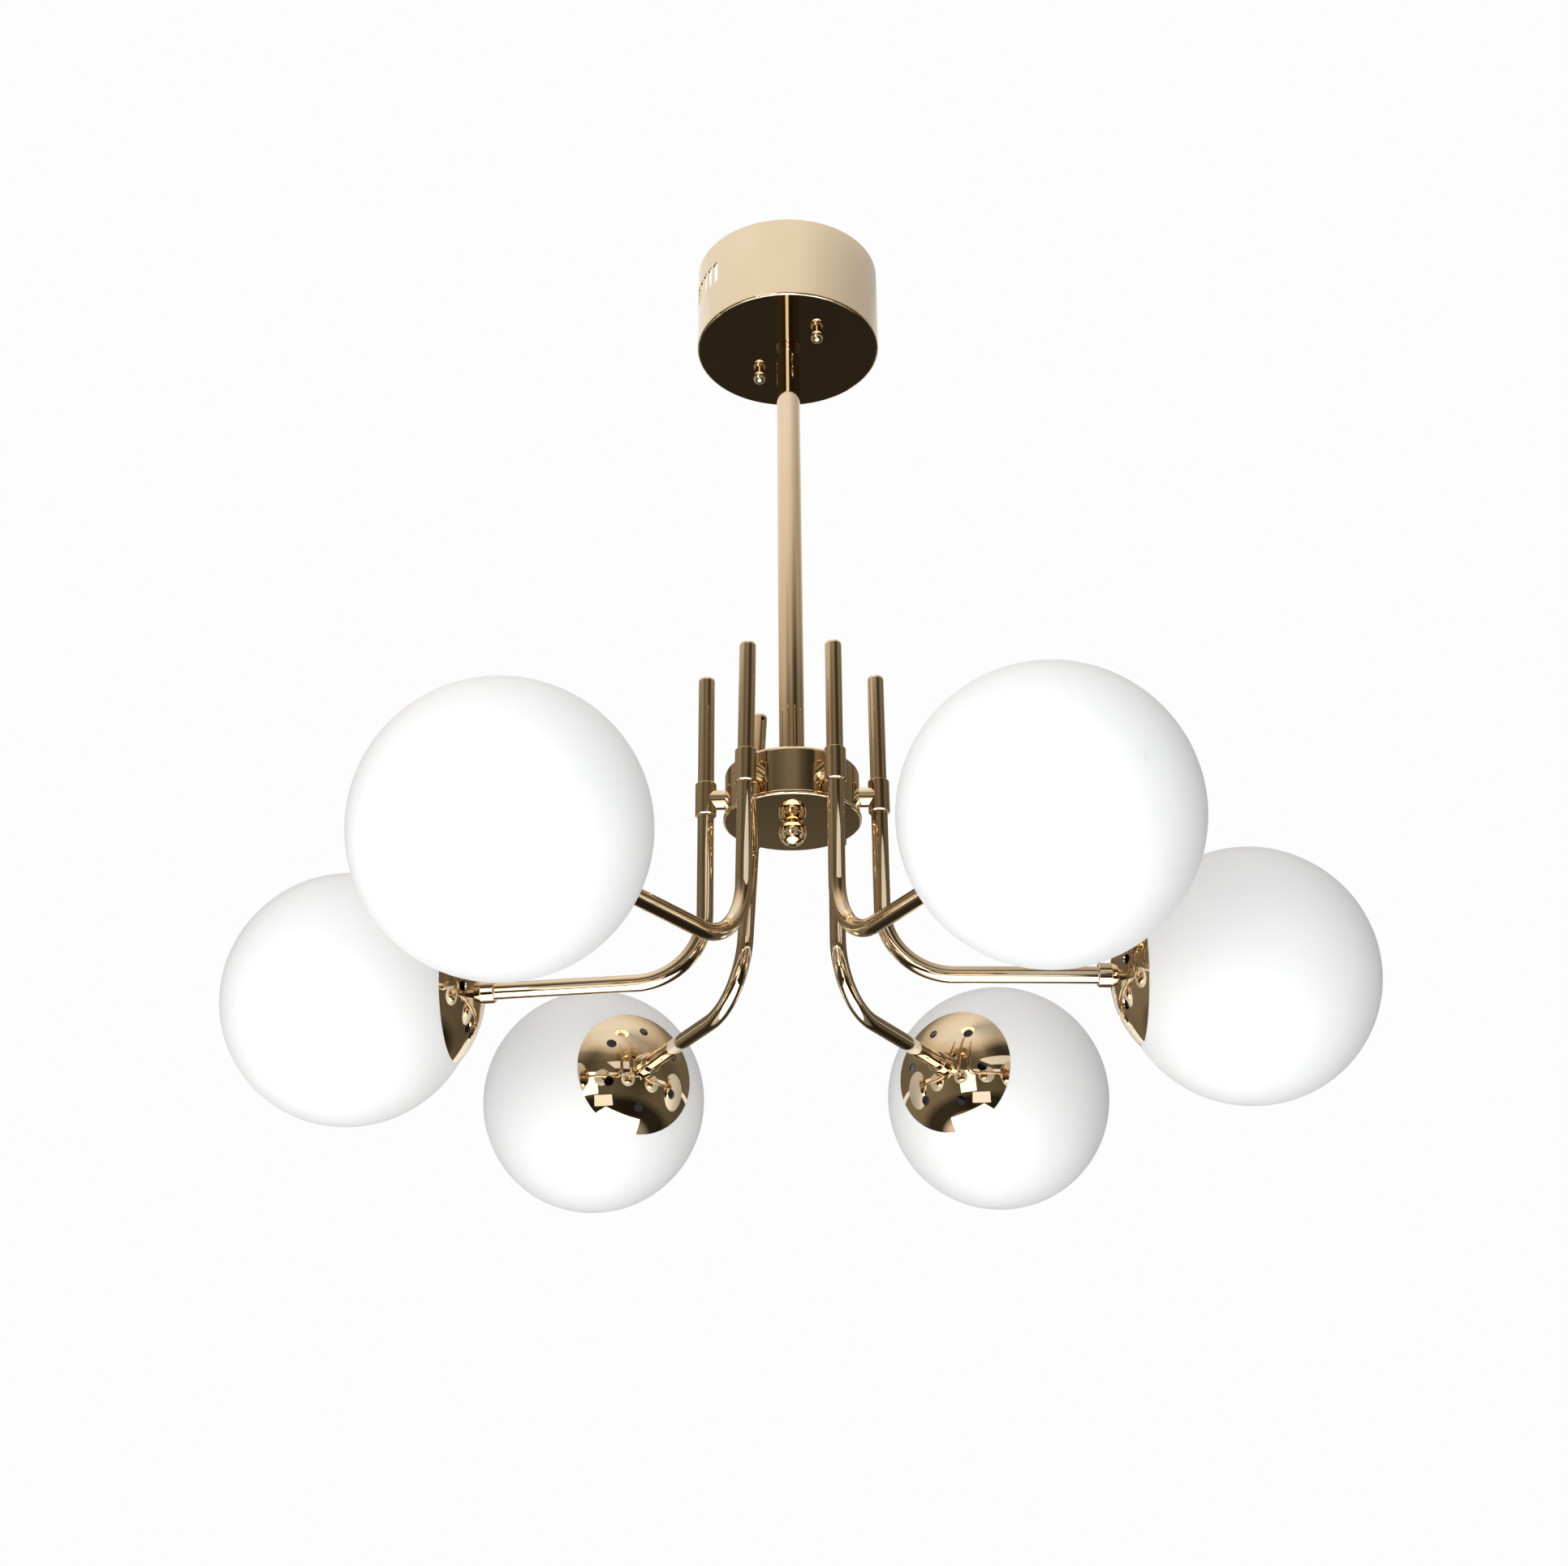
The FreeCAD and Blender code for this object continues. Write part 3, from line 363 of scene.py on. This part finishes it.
def wall_material():
    """Dim and pale levels by height, mixed by bearing."""
    material, adder, links = node_material("studio_wall")
    place = adder.new("ShaderNodeTexCoord").outputs["Object"]
    split = adder.new("ShaderNodeSeparateXYZ")
    links.new(place, split.inputs[0])
    height = map_range(adder, links, split.outputs["Z"], WALL_RADIUS, low=-WALL_RADIUS)
    dim, pale = (
        ramp_of(adder, links, height, [(height_at(at), mirrored_colour(level)) for at, level in levels])
        for levels in (WALL_DIM_LEVELS, WALL_PALE_LEVELS))
    share = bearing_shares(adder, links, place, WALL_PALE_SHARES)
    studio_glow(adder, links, mixed(adder, links, "RGBA", share, dim, pale), WALL_LIGHT)
    return material


def set_walls():
    """Round walls of the studio, open at the ceiling: dim, and lighter to the left."""
    shape = bmesh.new()
    bmesh.ops.create_uvsphere(shape, u_segments=64, v_segments=48, radius=WALL_RADIUS)
    high = [point for point in shape.verts if point.co.z > CEILING_Z - HUB.z]
    bmesh.ops.delete(shape, geom=high, context="VERTS")
    walls = studio_object("studio_walls", shape, HUB, wall_material())
    walls.visible_camera = False


def ceiling_material():
    """Levels by distance from the brightest spot, times shares by bearing."""
    material, adder, links = node_material("studio_ceiling")
    place = adder.new("ShaderNodeTexCoord").outputs["Object"]
    away = adder.new("ShaderNodeVectorMath")
    away.operation = "DISTANCE"
    away.inputs[1].default_value = CEILING_BRIGHTEST
    links.new(place, away.inputs[0])
    distance = away.outputs["Value"]
    fade = ramp_of(adder, links, map_range(adder, links, distance, CEILING_REACH),
                   [(reach / CEILING_REACH, mirrored_colour(level)) for reach, level in CEILING_LEVELS])
    near = bearing_shares(adder, links, place, CEILING_NEAR_SHARES)
    far = bearing_shares(adder, links, place, CEILING_FAR_SHARES)
    far = map_range(adder, links, far, 1.0, gain=FAR_GAIN)
    outer = map_range(adder, links, distance, FAR_START, low=NEAR_END)
    share = mixed(adder, links, "FLOAT", outer, near, far)
    studio_glow(adder, links, fade, CEILING_LIGHT, share)
    return material


def set_ceiling():
    """White ceiling that the light hangs from, brightest a little left of it and fading outwards."""
    shape = bmesh.new()
    bmesh.ops.create_circle(shape, cap_ends=True, radius=WALL_RADIUS, segments=96)
    ceiling = studio_object("studio_ceiling", shape, (0, 0, CEILING_Z), ceiling_material())
    ceiling.visible_camera = False


def floor_material():
    """Pale and matt. Most of its white is its own, so a shadow on it stays soft."""
    material, adder, links = node_material("pale_floor")
    matt = adder.new("ShaderNodeBsdfDiffuse")
    cloud = noise_of(adder, links, scale=3.0)
    vary(adder, links, cloud, matt.inputs["Color"], *map(grey, FLOOR_GREYS))
    white = adder.new("ShaderNodeEmission")
    white.inputs["Color"].default_value = opaque(grey(WHITE))
    strength = map_range(adder, links, background_rays(adder, links), 1.0, gain=FLOOR_GLOW)
    links.new(strength, white.inputs["Strength"])
    both = adder.new("ShaderNodeAddShader")
    output = adder.new("ShaderNodeOutputMaterial")
    links.new(matt.outputs[0], both.inputs[0])
    links.new(white.outputs[0], both.inputs[1])
    links.new(both.outputs[0], output.inputs[0])
    return material


def set_floor():
    """Pale square floor below the light, with one corner to the front."""
    shape = bmesh.new()
    bmesh.ops.create_grid(shape, x_segments=2, y_segments=2, size=FLOOR_SIDE / 2)
    floor = studio_object("floor", shape, FLOOR_PLACE, floor_material())
    floor.rotation_euler.z = math.radians(FLOOR_TURN)


def area_light(name, place, aim, size, power, mirrored=True, turn=0):
    """A soft box that no camera sees, and that metal shows if it is mirrored."""
    data = bpy.data.lights.new(name, "AREA")
    data.shape = "RECTANGLE"
    data.size, data.size_y = size
    data.energy = power
    light = bpy.data.objects.new(name, data)
    place = Vector(place)
    facing = (Vector(aim) - place).to_track_quat("-Z", "Y").to_matrix().to_4x4()
    spin = Matrix.Rotation(math.radians(turn), 4, "Z")
    light.matrix_world = Matrix.Translation(place) @ spin @ facing
    light.visible_camera = False
    light.visible_glossy = mirrored
    scene.collection.objects.link(light)


def set_lights():
    """A box just over the floor, a key, three fills that no metal shows, and two panels."""
    across, along, floor_z = FLOOR_PLACE
    area_light("floor_box", place=(across, along, floor_z + FLOOR_BOX_LIFT), aim=(across, along, 0),
               size=(1.95, 1.95), power=22.0, turn=FLOOR_TURN)
    area_light("key", place=(-0.85, -2.0, -0.75), aim=HUB, size=(0.9, 1.2), power=6.5)
    area_light("front", place=(-0.05, -1.15, -0.85), aim=HUB, size=(0.8, 0.8), power=4.8, mirrored=False)
    area_light("left", place=(-1.8, -1.2, -0.6), aim=HUB, size=(1.4, 1.4), power=8.0, mirrored=False)
    area_light("below", place=(-0.5, -0.6, -1.9), aim=HUB, size=(1.2, 1.2), power=5.0, mirrored=False)
    area_light("strip", place=(0.7, -1.2, -0.01), aim=(0.7, -1.2, -1), size=(1.2, 0.9), power=2.6, turn=30)
    area_light("low_panel", place=(-0.12, -1.73, -1.56), aim=UNDER_CANOPY, size=(0.9, 0.56), power=1.8)


scene.view_settings.view_transform = "Standard"
dress_nodes(make_materials())
set_camera()
set_world()
set_floor()
set_walls()
set_ceiling()
set_lights()
